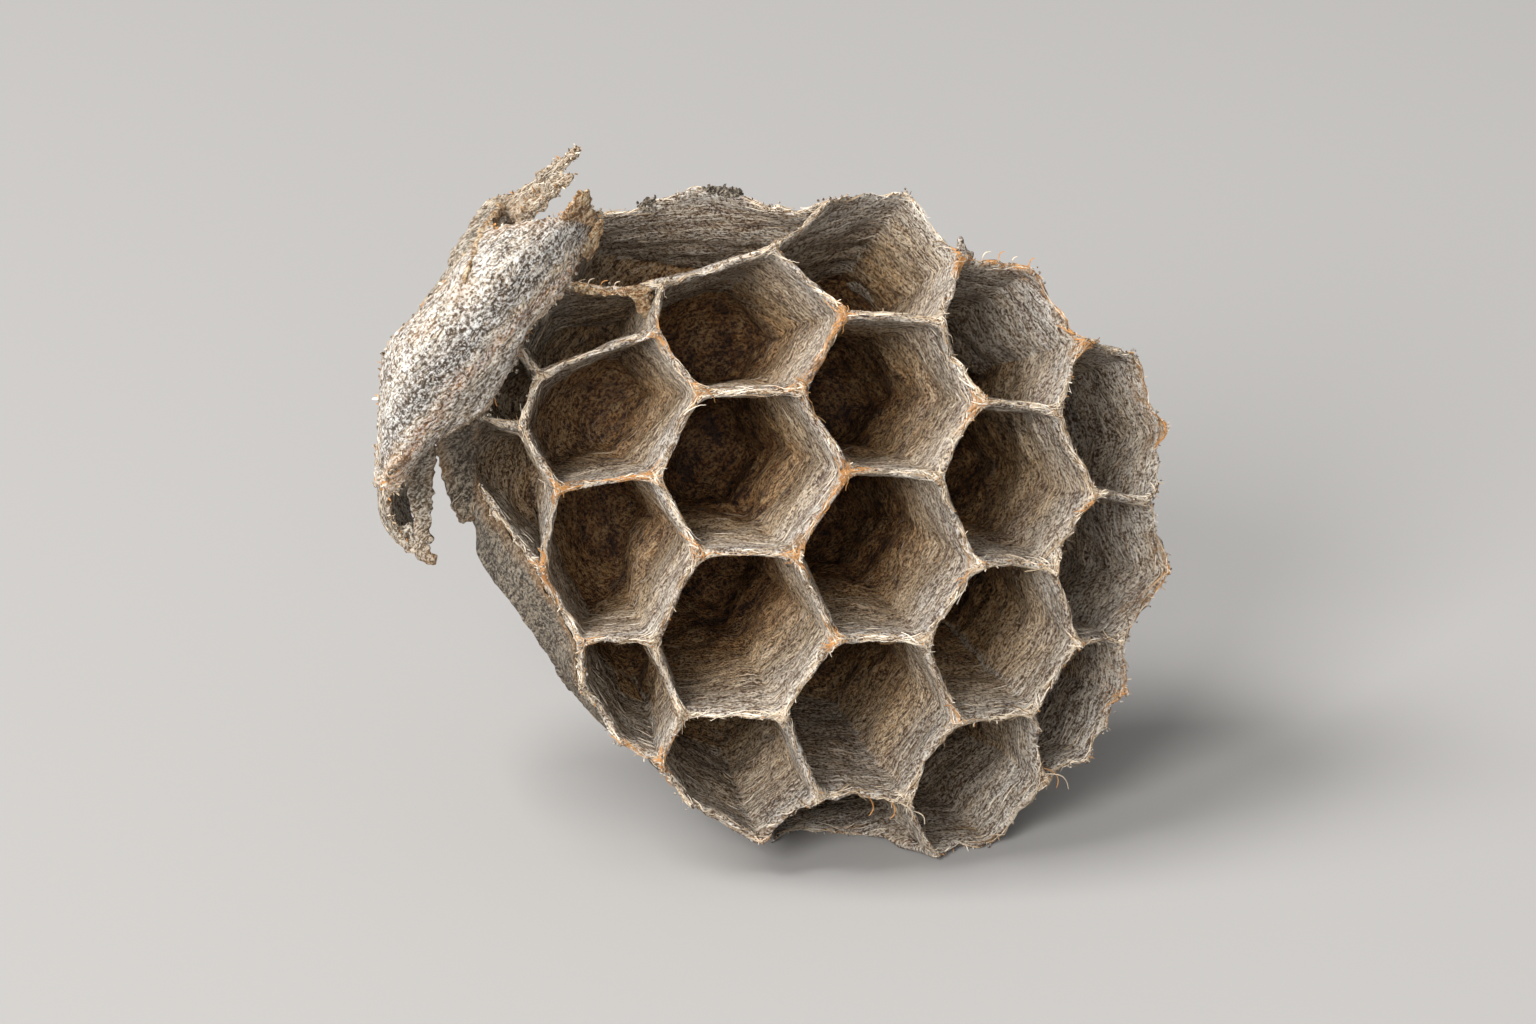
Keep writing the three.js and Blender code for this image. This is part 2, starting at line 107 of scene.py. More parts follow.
# Small torn scraps, as rows of points in mm across the scrap, from its root to its tip
SCRAPS = {
    "front_tip": [
        [(-9.98, -1.30, 28.28), (-8.94, -0.80, 27.91), (-7.84, -0.10, 27.39)],
        [(-9.43, -1.00, 28.74), (-8.65, -0.60, 28.49), (-7.86, -0.20, 28.23)],
        [(-8.96, -0.80, 29.16), (-8.55, -0.60, 29.05), (-8.09, -0.40, 28.94)],
        [(-8.66, -0.70, 29.54), (-8.40, -0.60, 29.53), (-8.15, -0.50, 29.42)],
    ],
    "right_tip": [
        [(-8.70, -0.50, 26.45), (-8.30, -0.20, 26.13), (-8.02, 0.00, 25.86)],
        [(-8.30, -0.40, 27.18), (-7.90, -0.10, 26.95), (-7.61, 0.10, 26.77)],
        [(-7.99, -0.30, 27.65), (-7.63, 0.00, 27.47), (-7.42, 0.10, 27.37)],
        [(-7.73, -0.20, 27.99), (-7.56, -0.10, 27.94), (-7.40, 0.00, 27.85)],
    ],
    "web": [
        [(-8.34, 1.60, 24.71), (-8.26, 1.60, 24.39), (-8.32, 1.60, 23.98)],
        [(-7.77, 1.30, 24.47), (-7.73, 1.30, 24.28), (-7.78, 1.30, 24.02)],
        [(-7.08, 0.80, 24.32), (-7.08, 0.80, 24.18), (-7.08, 0.80, 24.05)],
        [(-6.57, 0.40, 24.52), (-6.58, 0.40, 24.34), (-6.62, 0.40, 24.17)],
        [(-6.22, 0.10, 24.67), (-6.13, 0.10, 24.43), (-6.22, 0.10, 24.21)],
    ],
    "flap": [
        [(-6.49, 0.10, 24.74), (-5.92, -0.10, 24.83), (-5.30, -0.40, 24.76)],
        [(-6.27, 0.10, 24.26), (-5.81, 0.00, 24.20), (-5.30, -0.10, 24.12)],
        [(-5.90, 0.30, 23.61), (-5.63, 0.30, 23.53), (-5.27, 0.30, 23.49)],
        [(-5.54, 0.60, 22.93), (-5.41, 0.60, 22.86), (-5.27, 0.60, 22.89)],
    ],
    "back_spike": [
        [(7.61, -1.60, 24.89), (8.26, -1.60, 24.81), (9.08, -1.40, 24.65)],
        [(8.01, -1.40, 25.19), (8.39, -1.40, 25.14), (8.80, -1.30, 24.97)],
        [(8.23, -1.20, 25.47), (8.41, -1.20, 25.40), (8.65, -1.20, 25.28)],
        [(8.40, -1.00, 25.70), (8.47, -1.00, 25.70), (8.54, -1.00, 25.64)],
    ],
    "hanging_strip": [
        [(-16.65, -0.60, 18.59), (-15.82, -0.80, 18.87), (-15.01, -0.80, 19.13)],
        [(-16.20, 0.80, 17.13), (-15.49, 0.80, 17.17), (-14.83, 0.90, 17.33)],
        [(-15.87, 1.80, 15.72), (-15.27, 1.70, 15.77), (-14.71, 1.60, 15.96)],
        [(-15.61, 2.20, 14.48), (-15.13, 2.00, 14.58), (-14.73, 1.80, 14.79)],
        [(-15.28, 2.20, 13.51), (-14.93, 2.00, 13.63), (-14.69, 1.90, 13.82)],
        [(-14.95, 2.00, 13.12), (-14.81, 2.00, 13.15), (-14.71, 1.90, 13.22)],
    ],
    "curled_tail": [
        [(-16.19, 3.10, 13.63), (-15.76, 3.00, 13.85), (-15.39, 2.70, 14.09)],
        [(-15.88, 3.00, 12.93), (-15.46, 2.70, 13.22), (-15.12, 2.30, 13.50)],
        [(-15.47, 2.30, 12.52), (-15.16, 2.10, 12.79), (-14.85, 1.90, 13.05)],
        [(-14.81, 1.80, 12.15), (-14.63, 1.80, 12.27), (-14.47, 1.70, 12.42)],
    ],
    "neck": [
        [(-15.50, -1.00, 19.53), (-14.36, -0.90, 19.71), (-13.01, -0.40, 19.73)],
        [(-15.02, 0.20, 18.10), (-13.96, 0.60, 18.14), (-12.73, 1.30, 17.97)],
        [(-14.64, 0.40, 16.74), (-13.73, 0.90, 16.72), (-12.76, 1.60, 16.63)],
        [(-14.23, 0.70, 15.53), (-13.56, 0.70, 15.66), (-12.72, 1.10, 15.55)],
        [(-13.68, 1.50, 14.02), (-13.31, 0.90, 14.42), (-12.80, 0.50, 14.72)],
    ],
    "torn_ridge": [
        [(-11.00, 3.50, 27.91), (-10.85, 3.40, 27.88), (-10.65, 3.50, 27.73)],
        [(-12.01, 1.80, 27.78), (-11.86, 1.70, 27.70), (-11.66, 1.80, 27.56)],
        [(-13.05, 0.10, 27.58), (-12.97, -0.20, 27.62), (-12.73, 0.00, 27.44)],
        [(-13.92, -1.90, 27.33), (-13.88, -2.20, 27.37), (-13.65, -2.00, 27.24)],
        [(-14.61, -2.70, 26.60), (-14.54, -2.90, 26.61), (-14.36, -2.70, 26.44)],
    ],
    "shoulder": [
        [(-11.66, 4.00, 27.88), (-11.24, 3.60, 27.73), (-10.70, 3.20, 27.56)],
        [(-12.51, 3.00, 27.15), (-12.09, 2.00, 27.24), (-11.59, 1.00, 27.35)],
        [(-13.44, 2.00, 26.58), (-13.14, 0.60, 26.90), (-12.62, -0.30, 26.98)],
        [(-14.14, 1.50, 26.02), (-13.87, 0.00, 26.28), (-13.72, -2.20, 26.82)],
    ],
}

# The papers of the scraps that aren't ochre pulp
SCRAP_PAPERS = {"shoulder": "brown", "hanging_strip": "brown", "curled_tail": "brown", "neck": "weathered",
                "back_spike": "cell"}

# Fibres that came loose and curl away: where each starts, and how far its end reaches from there, in mm. The
# first RIM_ENDS of them start at the nearest point of a rim.
RIM_ENDS = 10
LOOSE_ENDS = [
    ((9.6, -9.6, 3.4), (1.0, -0.1, -1.0)), ((9.7, -9.7, 3.7), (0.6, 0.3, -1.3)),
    ((2.4, -10.6, 3.1), (0.4, -0.3, -0.9)), ((1.9, -10.6, 3.1), (-0.3, -0.2, -0.6)),
    ((3.3, -10.5, 2.8), (0.4, -0.2, -0.7)), ((0.7, -10.6, 3.8), (-0.2, -0.2, -0.8)),
    ((9.3, -1.7, 24.8), (0.5, 0.0, 0.3)), ((10.2, -1.4, 24.7), (0.4, 0.1, 0.3)),
    ((10.8, -1.2, 24.5), (0.3, 0.0, 0.3)), ((11.6, -0.9, 24.4), (0.4, 0.1, 0.3)),
    ((-7.8, 1.2, 24.4), (0.4, 0.0, 0.3)), ((-7.3, 1.0, 24.3), (0.4, -0.1, 0.35)),
    ((-6.8, 0.6, 24.4), (0.3, -0.1, 0.3)),
]


# --- small helpers -----------------------------------------------------------------------------------

def colour(code):
    """An sRGB hex colour as linear RGBA."""
    channels = [int(code[i:i + 2], 16) / 255 for i in (1, 3, 5)]
    return tuple(c / 12.92 if c <= 0.04045 else ((c + 0.055) / 1.055) ** 2.4 for c in channels) + (1.0,)


def only(piece):
    """Make this the one selected and active object."""
    bpy.ops.object.select_all(action="DESELECT")
    piece.select_set(True)
    bpy.context.view_layer.objects.active = piece


def rows_of(piece, kind):
    """One row of x, y and z for each point of a piece."""
    flat = np.empty(len(piece.data.vertices) * 3)
    piece.data.vertices.foreach_get(kind, flat)
    return flat.reshape(-1, 3)


def points_of(piece):
    """Where the points of a piece are."""
    return rows_of(piece, "co")


def normals_of(piece):
    """Which way a piece faces at each of its points."""
    return rows_of(piece, "normal")


def place_points(piece, points):
    """Put a piece's points in place, none of them below the surface that the nest lies on."""
    points = np.array(points)
    points[:, 2] = np.maximum(points[:, 2], cad_box[0][2])
    piece.data.vertices.foreach_set("co", points.ravel())
    piece.data.update()


def new_piece(name, verts, faces):
    """A piece made from its points and faces."""
    data = bpy.data.meshes.new(name)
    data.from_pydata(verts, [], faces)
    piece = bpy.data.objects.new(name, data)
    bpy.context.scene.collection.objects.link(piece)
    place_points(piece, points_of(piece))
    return piece


def in_noise(point, size, seed):
    """Where a point lies in the noise, for lumps of a given size in mm. Each seed has a place of its own."""
    return Vector(point) / (size * MM) + Vector((seed * 7.1, seed * 3.3, seed * 5.7))


def uneven(point, size, seed):
    """Smooth noise from -1 to 1."""
    return noise.noise(in_noise(point, size, seed))


def drift(point, size, seed):
    """A smooth push in any direction, the same for both sides of a wall."""
    return noise.noise_vector(in_noise(point, size, seed))


def attribute(piece, name, values):
    """Give each point of a piece a number that its paper reads."""
    layer = piece.data.attributes.new(name, "FLOAT", "POINT")
    layer.data.foreach_set("value", np.asarray(values, dtype=np.float32))


def tree_of(places):
    """A tree that finds the nearest of many places."""
    tree = KDTree(len(places))
    for i, place in enumerate(places):
        tree.insert(place, i)
    tree.balance()
    return tree


def finish_piece(piece, paper, stands_for=None):
    """Give a piece its paper, and say what it rides on, finishes like and stands for."""
    piece.data.materials.clear()
    piece.data.materials.append(paper)
    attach(piece, "root")
    if stands_for:
        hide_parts(stands_for)


# --- materials ---------------------------------------------------------------------------------------

# The numbers of a Map Range node's inputs, whose lowest result stays 0, and of a Mix node's for colours. A
# Math node that multiplies and adds makes input 0 times input 1 plus input 2.
VALUE, FROM_LOW, FROM_HIGH, TO_HIGH = 0, 1, 2, 4
SHARE, UNDER, OVER = 0, 6, 7


def add(tree, kind, inputs=None, stops=None, **settings):
    """Add a shader node, set it, feed its inputs with values, outputs or whole nodes, which give their first
    output, and fill its ramp, if any."""
    node = tree.nodes.new("ShaderNode" + kind)
    for key, value in settings.items():
        setattr(node, key, value)
    for key, value in (inputs or {}).items():
        if isinstance(value, bpy.types.Node):
            value = next(output for output in value.outputs if output.enabled)
        if isinstance(value, bpy.types.NodeSocket):
            tree.links.new(value, node.inputs[key])
        else:
            node.inputs[key].default_value = value
    for i, (place, code) in enumerate(stops or []):
        if i >= len(node.color_ramp.elements):
            node.color_ramp.elements.new(1.0)
        node.color_ramp.elements[i].position = place
        node.color_ramp.elements[i].color = colour(code)
    return node


def nest_paper(name):
    """A new paper material, its nodes, and where a point of it is in mm."""
    material = bpy.data.materials.new(name)
    material.use_nodes = True
    tree = material.node_tree
    tree.nodes.clear()
    metres = add(tree, "TexCoord").outputs["Object"]
    place = add(tree, "VectorMath", {0: metres, "Scale": 1 / MM}, operation="SCALE")
    return material, tree, place


def under_dome(tree, place):
    """How deep a point is under the dome of mouths, and which way it lies round the dome, in mm."""
    from_dome = add(tree, "VectorMath", {0: place, 1: DOME_MIDDLE / MM}, operation="SUBTRACT")
    reach = add(tree, "VectorMath", {0: from_dome}, operation="LENGTH")
    depth = add(tree, "Math", {0: DOME_RADIUS / MM, 1: reach}, operation="SUBTRACT")
    outward = add(tree, "VectorMath", {0: from_dome}, operation="NORMALIZE")
    around = add(tree, "VectorMath", {0: outward, "Scale": DOME_RADIUS / MM}, operation="SCALE")
    return depth, around


def lay_pulp(tree, base, place, along, across, dark, pale, fibrous, grit=0.0):
    """Draw pulp over a base colour, and return the colour and its relief. Layers are 0.7 mm wide, as a wasp
    lays them. Fibres are 0.15 mm wide and 1 mm long, coarser than the real 0.03 mm so that they show, with
    fibres of half that width between them, and bark grains 0.15 mm across are strewn over them. Fibrous says
    how strongly the fibres show, and grit how strongly the grains do."""
    wander = add(tree, "TexNoise", {"Vector": place, "Scale": 0.45, "Detail": 2.0})
    ripple = add(tree, "TexNoise", {"Vector": place, "Scale": 1.6, "Detail": 3.0})
    across = add(tree, "Math", {0: wander, 1: 1.2, 2: across}, operation="MULTIPLY_ADD")
    across = add(tree, "Math", {0: ripple, 1: 0.3, 2: across}, operation="MULTIPLY_ADD")
    along = add(tree, "VectorMath", {0: along, "Scale": 0.12}, operation="SCALE")
    layers, fibres, hairs = (
        add(tree, "TexNoise", {"Vector": along, "W": across, "Scale": scale, "Detail": detail,
                               "Roughness": roughness}, noise_dimensions="4D")
        for scale, detail, roughness in ((1.6, 2.0, 0.5), (6.5, 3.0, 0.7), (16.0, 2.0, 0.7)))
    grains = add(tree, "TexNoise", {"Vector": place, "Scale": 7.0, "Detail": 4.0, "Roughness": 0.75})
    patches = add(tree, "TexNoise", {"Vector": place, "Scale": 1.7, "Detail": 5.0, "Roughness": 0.7})

    tone = add(tree, "MapRange", {VALUE: layers, FROM_LOW: 0.36, FROM_HIGH: 0.62})
    tone = add(tree, "ValToRGB", {0: tone}, [(0.0, "#8F6A40"), (0.35, "#E6D3B4"), (0.7, "#FFFFFF"),
                                             (1.0, "#D4BD99")])
    base = add(tree, "Mix", {SHARE: 0.8, UNDER: base, OVER: tone}, data_type="RGBA", blend_type="MULTIPLY")
    worn = add(tree, "MapRange", {VALUE: patches, FROM_LOW: 0.40, FROM_HIGH: 0.60})
    worn = add(tree, "ValToRGB", {0: worn}, [(0.0, "#8C7559"), (0.4, "#EADFCF"), (0.7, "#FFFFFF")])
    base = add(tree, "Mix", {SHARE: 0.75, UNDER: base, OVER: worn}, data_type="RGBA", blend_type="MULTIPLY")

    # Dark gaps between the fibres and pale fibres, then pale lint and dark bark: where in the noise each
    # starts to show and shows most, how strong it is then, and its colour
    for source, starts_at, most_at, strength, tint in (
            (fibres, 0.49, 0.41, 0.75 * fibrous, dark), (fibres, 0.52, 0.60, 0.6 * fibrous, pale),
            (hairs, 0.49, 0.43, 0.6 * fibrous, dark), (hairs, 0.52, 0.58, 0.48 * fibrous, pale),
            (grains, 0.475, 0.43, 0.6 + 0.2 * grit, pale), (grains, 0.54, 0.58, 0.95, dark)):
        mark = add(tree, "MapRange", {VALUE: source, FROM_LOW: starts_at, FROM_HIGH: most_at,
                                      TO_HIGH: strength})
        base = add(tree, "Mix", {SHARE: mark, UNDER: base, OVER: colour(tint)}, data_type="RGBA")

    relief = add(tree, "Math", {0: layers, 1: 1.6, 2: fibres}, operation="MULTIPLY_ADD")
    relief = add(tree, "Math", {0: hairs, 1: 0.45, 2: relief}, operation="MULTIPLY_ADD")
    relief = add(tree, "Math", {0: grains, 1: -0.7 - 0.5 * grit, 2: relief}, operation="MULTIPLY_ADD")
    return base, relief


def finish_paper(material, tree, base, relief, height):
    """Dry, matt, unsized paper: very rough, hardly any shine, and a little fuzz of fibre ends."""
    bump = add(tree, "Bump", {"Distance": height * MM, "Height": relief})
    shader = add(tree, "BsdfPrincipled", {
        "Base Color": base, "Roughness": 0.92, "IOR": 1.45, "Specular IOR Level": 0.15,
        "Sheen Weight": 0.08, "Sheen Roughness": 0.6, "Normal": bump})
    add(tree, "OutputMaterial", {"Surface": shader})
    return material


def cell_paper():
    """Wood-pulp paper of the cells, laid on in strips along the rim: warm grey near the mouth, with pale
    fibres, dark bark grains and ochre pulp where it was patched, and brown and woolly down in the cell. The
    paper gets browner and darker with depth below the rim, partly as the pulp's own colour and partly as
    painted shade."""
    material, tree, place = nest_paper("wood_pulp_cell_paper")
    depth, around = under_dome(tree, place)
    below = add(tree, "Attribute", attribute_name="below_rim").outputs["Fac"]
    blotch = add(tree, "TexNoise", {"Vector": place, "Scale": 0.35, "Detail": 3.0, "Roughness": 0.6})
    deepness = add(tree, "Math", {0: blotch, 1: 5.0, 2: below}, operation="MULTIPLY_ADD")
    deepness = add(tree, "MapRange", {VALUE: deepness, FROM_LOW: 1.5, FROM_HIGH: 16.0})
    # Pale at the rim and browner deeper down: partly the pulp's own colour, partly painted shade in the depth
    # of the cells
    base = add(tree, "ValToRGB", {0: deepness}, [
        (0.0, "#EEE8DF"), (0.14, "#F3EADC"), (0.32, "#F6E8D2"), (0.48, "#F0D8B2"), (0.64, "#E0BF90"),
        (1.0, "#C29C68")])
    cool = add(tree, "MapRange", {VALUE: deepness, FROM_LOW: 0.34, FROM_HIGH: 0.05, TO_HIGH: 0.45})
    base = add(tree, "Mix", {SHARE: cool, UNDER: base, OVER: colour("#B3AEA6")}, data_type="RGBA")
    base, relief = lay_pulp(tree, base, place, around, depth, "#4A2F15", "#F4EFE8", 0.9)
    # Warmer and darker deeper down, multiplied over the rest: partly browner pulp, partly painted shade
    deep_brown_and_shade = add(tree, "ValToRGB", {0: deepness}, [(0.05, "#FFFFFF"), (0.32, "#FFF2DE"), (0.6, "#F3DAB2"),
                                                  (1.0, "#E2C090")])
    base = add(tree, "Mix", {SHARE: 1.0, UNDER: base, OVER: deep_brown_and_shade}, data_type="RGBA", blend_type="MULTIPLY")

    ochre = add(tree, "Attribute", attribute_name="ochre").outputs["Fac"]
    fleck = add(tree, "TexNoise", {"Vector": place, "Scale": 2.2, "Detail": 3.0, "Roughness": 0.65})
    fleck = add(tree, "MapRange", {VALUE: fleck, FROM_LOW: 0.44, FROM_HIGH: 0.60, TO_HIGH: 0.85})
    patch = add(tree, "Math", {0: ochre, 1: fleck}, operation="MULTIPLY")
    base = add(tree, "Mix", {SHARE: patch, UNDER: base, OVER: colour("#B48B5C")}, data_type="RGBA")

    wool = add(tree, "TexNoise", {"Vector": place, "Scale": 0.9, "Detail": 5.0, "Roughness": 0.65})
    woolly = add(tree, "MapRange", {VALUE: below, FROM_LOW: 4.5, FROM_HIGH: 9.5, TO_HIGH: 0.85})
    tone = add(tree, "MapRange", {VALUE: wool, FROM_LOW: 0.38, FROM_HIGH: 0.60})
    tone = add(tree, "ValToRGB", {0: tone}, [(0.0, "#6E4C28"), (0.45, "#DCBE92"), (0.8, "#FFF6E4")])
    base = add(tree, "Mix", {SHARE: woolly, UNDER: base, OVER: tone}, data_type="RGBA", blend_type="MULTIPLY")
    lumps = add(tree, "Math", {0: wool, 1: woolly}, operation="MULTIPLY")
    relief = add(tree, "Math", {0: lumps, 1: 2.5, 2: relief}, operation="MULTIPLY_ADD")
    return finish_paper(material, tree, base, relief, 0.50)


def envelope_paper(name, stripes, dark, pale, edge_ochre):
    """Wood-pulp paper of the envelope, in long stripes of different woods, with pale fibres, dark bark grains
    all over and torn edges of ochre pulp. Stripes are (place across them in mm, colour), and they wander."""
    material, tree, place = nest_paper(name)
    across = add(tree, "VectorMath", {0: place, 1: ACROSS_STRIPES}, operation="DOT_PRODUCT")
    wander = add(tree, "TexNoise", {"Vector": place, "Scale": 0.6, "Detail": 4.0, "Roughness": 0.6})
    wander_by = 1.3
    wandering = add(tree, "Math", {0: wander, 1: wander_by, 2: across}, operation="MULTIPLY_ADD")
    low, high = stripes[0][0], stripes[-1][0]
    stripe = add(tree, "MapRange", {VALUE: wandering, FROM_LOW: low + wander_by / 2,
                                    FROM_HIGH: high + wander_by / 2})
    base = add(tree, "ValToRGB", {0: stripe}, [((at - low) / (high - low), tint) for at, tint in stripes])
    base, relief = lay_pulp(tree, base, place, place, across, dark, pale, 0.9, grit=0.2)
    torn = add(tree, "Attribute", attribute_name="torn").outputs["Fac"]
    ochre = add(tree, "Math", {0: torn, 1: edge_ochre}, operation="MULTIPLY")
    base = add(tree, "Mix", {SHARE: ochre, UNDER: base, OVER: colour("#A87A45")}, data_type="RGBA")
    return finish_paper(material, tree, base, relief, 0.22)


def ochre_pulp():
    """Torn edges of young paper, where no bark was mixed in: ochre to cream, thin and crumbly."""
    material, tree, place = nest_paper("ochre_pulp_scrap")
    depth, _ = under_dome(tree, place)
    mottle = add(tree, "TexNoise", {"Vector": place, "Scale": 1.5, "Detail": 4.0, "Roughness": 0.65})
    mottle = add(tree, "MapRange", {VALUE: mottle, FROM_LOW: 0.35, FROM_HIGH: 0.65})
    base = add(tree, "ValToRGB", {0: mottle}, [(0.0, "#7B5631"), (0.35, "#AD7E47"), (0.6, "#C3A273"),
                                               (0.8, "#CDBCA0"), (1.0, "#A89C8B")])
    base, relief = lay_pulp(tree, base, place, place, depth, "#5D4329", "#D9C9AC", 0.6)
    return finish_paper(material, tree, base, relief, 0.2)


def pulp_strand():
    """Single fibres and bundles of fibres on the paper: bark brown, grey, cream, and ochre where patched.
    Those down in the cells are darker, partly as browner pulp and partly as painted shade, as the walls are."""
    material, tree, place = nest_paper("pulp_strand")
    shade = add(tree, "Attribute", attribute_name="shade").outputs["Fac"]
    base = add(tree, "ValToRGB", {0: shade}, [
        (0.0, "#3E2C1B"), (0.25, "#705638"), (0.5, "#AD9A80"), (0.75, "#D3C8B7"), (0.86, "#DED4C4"),
        (0.9, "#B58550"), (1.0, "#9C6A38")])
    below = add(tree, "Attribute", attribute_name="below_rim").outputs["Fac"]
    # Strands deeper below the rim turn dark brown: partly browner pulp, partly painted shade
    dim = add(tree, "MapRange", {VALUE: below, FROM_LOW: 1.5, FROM_HIGH: 12.0, TO_HIGH: 0.85})
    base = add(tree, "Mix", {SHARE: dim, UNDER: base, OVER: colour("#6E4925")}, data_type="RGBA")
    mottle = add(tree, "TexNoise", {"Vector": place, "Scale": 9.0, "Detail": 2.0})
    return finish_paper(material, tree, base, mottle, 0.05)


# --- sheets of paper ---------------------------------------------------------------------------------

def runs_down_a_cell(edge, shortest):
    """Is this edge, longer than so many mm, one that runs down a cell wall, within 10 degrees?"""
    first, second = (vertex.co for vertex in edge.verts)
    along = second - first
    to_bottom = (CELLS_MEET - first).normalized()
    return along.length > shortest * MM and abs(along.normalized().dot(to_bottom)) > 0.985


def sharpen(folds):
    """A fold is two lines of points a little apart. Push both out toward where the two walls would meet. That
    is 0.577 of the gap between them away, and 0.7 of it leaves the fold a little round."""
    corners = {vertex for edge in folds for vertex in edge.verts}
    places = {}
    for vertex in corners:
        beside = [edge.other_vert(vertex) for edge in vertex.link_edges
                  if edge not in folds and 0.15 * MM < edge.calc_length() and not runs_down_a_cell(edge, 0.3)]
        twins = [other for other in beside if other in corners and (other.co - vertex.co).length < 1.1 * MM]
        if twins:
            across = min((other.co - vertex.co for other in twins), key=lambda step: step.length)
            away = min(beside, key=lambda other: (other.co - vertex.co).normalized().dot(across.normalized()))
            along = (vertex.co - away.co).normalized()
            if along.dot(across.normalized()) > 0.5:
                places[vertex] = vertex.co + along * across.length * 0.577 * 0.7
    for vertex, place in places.items():
        vertex.co = place


def paper_from(node, name, cell_walls=False):
    """A copy of a CAD node, merged and its loose triangles made quads, ready to be refined. Walls of cells
    get more rings of points, and folds that stay crisp."""
    piece = bpy.data.objects.new(name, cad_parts[node].data.copy())
    bpy.context.scene.collection.objects.link(piece)
    only(piece)
    bpy.ops.object.mode_set(mode="EDIT")
    bpy.ops.mesh.select_all(action="SELECT")
    bpy.ops.mesh.remove_doubles(threshold=0.002 * MM)
    bpy.ops.mesh.tris_convert_to_quads(face_threshold=math.radians(60), shape_threshold=math.radians(60))
    if cell_walls:
        bpy.ops.mesh.select_mode(type="EDGE")
        bpy.ops.mesh.select_all(action="DESELECT")
        mesh = bmesh.from_edit_mesh(piece.data)
        for edge in mesh.edges:
            edge.select = runs_down_a_cell(edge, 1.2)
        bmesh.update_edit_mesh(piece.data)
        bpy.ops.mesh.subdivide(number_cuts=1)
        mesh = bmesh.from_edit_mesh(piece.data)
        crease = mesh.edges.layers.float.get("crease_edge") or mesh.edges.layers.float.new("crease_edge")
        folds = [edge for edge in mesh.edges if len(edge.link_faces) == 2 and runs_down_a_cell(edge, 0.4)
                 and edge.calc_face_angle(0) > math.radians(15)]
        for edge in folds:
            edge[crease] = 0.8
        sharpen(folds)
        bmesh.update_edit_mesh(piece.data)
    bpy.ops.object.mode_set(mode="OBJECT")
    return piece


def refine(piece, levels):
    """Round and refine a piece by subdivision."""
    only(piece)
    finer = piece.modifiers.new("finer", "SUBSURF")
    finer.levels = finer.render_levels = levels
    bpy.ops.object.modifier_apply(modifier=finer.name)
    bpy.ops.object.shade_smooth()


def torn_edges(piece):
    """Places all along the torn edges of a sheet, and which way is outwards there. They are the open edges of
    a sheet with no thickness yet, and the narrow faces of one that has it, under 0.46 mm wide."""
    mesh = bmesh.new()
    mesh.from_mesh(piece.data)
    places, outwards = [], []
    for edge in (edge for edge in mesh.edges if len(edge.link_faces) == 1):
        first, second = (vertex.co for vertex in edge.verts)
        outward = (first + second) / 2 - edge.link_faces[0].calc_center_median()
        runs = (second - first).normalized()
        outward = (outward - runs * outward.dot(runs)).normalized()
        places += [first.lerp(second, (i + 0.5) / 8) for i in range(8)]
        outwards += [outward] * 8
    if not places:
        for face in (face for face in mesh.faces if len(face.verts) == 4):
            corners = [vertex.co for vertex in face.verts]
            sides = [(corners[i] - corners[i - 3]).length for i in range(4)]
            for i in (0, 1):
                if max(sides[i], sides[i + 2]) < 0.46 * MM and min(sides[1 - i], sides[3 - i]) > 0.5 * MM:
                    start = corners[i].lerp(corners[(i + 1) % 4], 0.5)
                    end = corners[(i + 2) % 4].lerp(corners[(i + 3) % 4], 0.5)
                    places += [start.lerp(end, (j + 0.5) / 12) for j in range(12)]
                    outwards += [face.normal.copy()] * 12
    mesh.free()
    return places, outwards


def roughen(piece, edges, seed, tooth=1.0, wrinkle=1.0):
    """Wrinkle a torn sheet all over, and serrate the band along its torn edges. Tooth and wrinkle say how
    strongly."""
    torn_band = 0.7
    places, outwards = edges
    tree = tree_of(places)
    points, normals = points_of(piece), normals_of(piece)
    moved, torn = points.copy(), np.zeros(len(points))
    for i, (point, normal) in enumerate(zip(points, normals)):
        _, nearest, distance = tree.find(point)
        distance /= MM
        push = 0.10 * uneven(point, 1.6, seed + 1) + 0.07 * uneven(point, 0.55, seed + 2)
        push += 0.035 * uneven(point, 0.25, seed + 6)
        moved[i] += normal * MM * wrinkle * push * min(1.0, 0.4 + distance)
        if distance < torn_band:
            teeth = 0.24 * uneven(point, 0.5, seed + 3) + 0.22 * uneven(point, 0.24, seed + 4)
            moved[i] += np.array(outwards[nearest]) * MM * tooth * teeth * (1 - distance / torn_band)
            torn[i] = (1 - distance / torn_band) * (0.45 + 0.9 * uneven(point, 1.5, seed))
    place_points(piece, moved)
    attribute(piece, "torn", np.clip(torn, 0, 1))


# --- the comb ----------------------------------------------------------------------------------------

def rim_points(points, normals):
    """The points of the cells' rims: they face outwards, close to the dome or up to 4 mm under it, where a
    rim was left unfinished."""
    out = points - np.array(DOME_MIDDLE)
    reach = np.linalg.norm(out, axis=1)
    facing = (out * normals).sum(axis=1) / reach
    return np.where((facing > 0.8) & (reach > DOME_RADIUS - 4.6 * MM) & (out[:, 1] < 4 * MM))[0]


